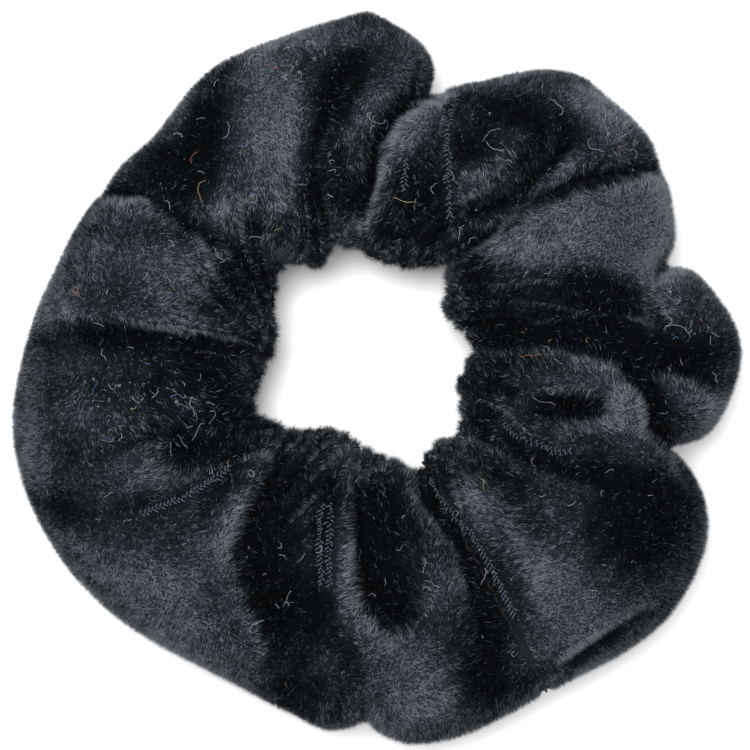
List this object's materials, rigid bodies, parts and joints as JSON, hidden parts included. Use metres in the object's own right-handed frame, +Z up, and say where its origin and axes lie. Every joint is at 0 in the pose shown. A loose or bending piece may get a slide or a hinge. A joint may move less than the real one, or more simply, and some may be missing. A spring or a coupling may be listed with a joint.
{
  "type": "hair scrunchie",
  "caption": "Gathered velvet fabric tube sewn shut round a loop of flat elastic, lying flat, with an opening for the hair that stretches.",
  "frame": {"origin": "on the surface that the scrunchie lies on, under the middle of its bounding box", "axes": "+Z up through the hair opening; +X is the way the ring is pulled open; +Y completes the right-handed frame"},
  "size_m": [0.1152, 0.1148, 0.028],
  "materials": {
    "velvet": "short black pile",
    "elastic": "knitted",
    "thread": "satin"
  },
  "bodies": {
    "left_half": {"velvet_cover_left": "velvet", "elastic_left": "elastic", "long_seam_left": "thread"},
    "right_half": {"velvet_cover_right": "velvet", "elastic_right": "elastic", "long_seam_right": "thread", "closing_seam": "thread", "elastic_lap_stitches": "thread"}
  },
  "joints": [
    {"name": "stretch", "type": "slide", "parent": "left_half", "child": "right_half", "axis": [1, 0, 0], "range_m": [0, 0.07], "stiffness_N_per_m": 100}
  ]
}
